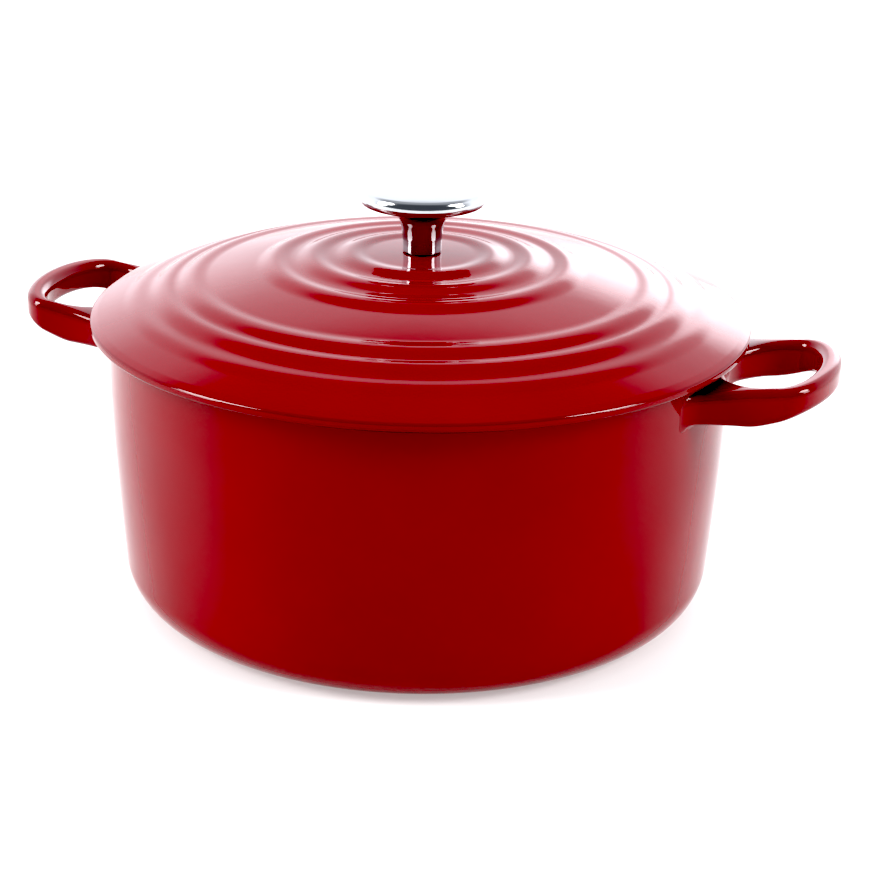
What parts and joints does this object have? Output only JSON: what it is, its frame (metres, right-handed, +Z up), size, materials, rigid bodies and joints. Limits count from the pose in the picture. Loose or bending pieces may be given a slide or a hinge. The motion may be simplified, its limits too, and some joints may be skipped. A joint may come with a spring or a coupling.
{
  "type": "dutch oven",
  "caption": "Round enamelled cast iron pot with loop handles and a domed, ringed lid lifted by a steel knob, for slow cooking on a hob or in an oven.",
  "frame": {"origin": "centre of the pot's flat base, on the surface it stands on", "axes": "+Z up, towards the knob; the two loop handles lie along +X and -X"},
  "size_m": [0.3706, 0.29, 0.1864],
  "materials": {
    "pot_enamel": "cast iron under gloss red enamel outside, pale cream enamel inside, bare-looking black rim",
    "lid_enamel": "cast iron under gloss red enamel on top, pale cream enamel below, black seating rim",
    "polished_steel": "mirror polished stainless steel",
    "plated_steel": "dull stainless steel"
  },
  "bodies": {
    "pot": {"pot": "pot_enamel"},
    "lid_carrier": {"flat_washer": "plated_steel"},
    "lid": {"lid": "lid_enamel", "knob": "polished_steel", "knob_screw": "plated_steel", "lock_washer": "plated_steel"}
  },
  "joints": [
    {"name": "lid_lift", "type": "slide", "parent": "pot", "child": "lid_carrier", "axis": [0, 0, 1], "range_m": [0, 0.15]},
    {"name": "lid_turn", "type": "hinge", "parent": "lid_carrier", "child": "lid", "pos_m": [0, 0, 0.15], "axis": [0, 0, 1], "continuous": true}
  ]
}
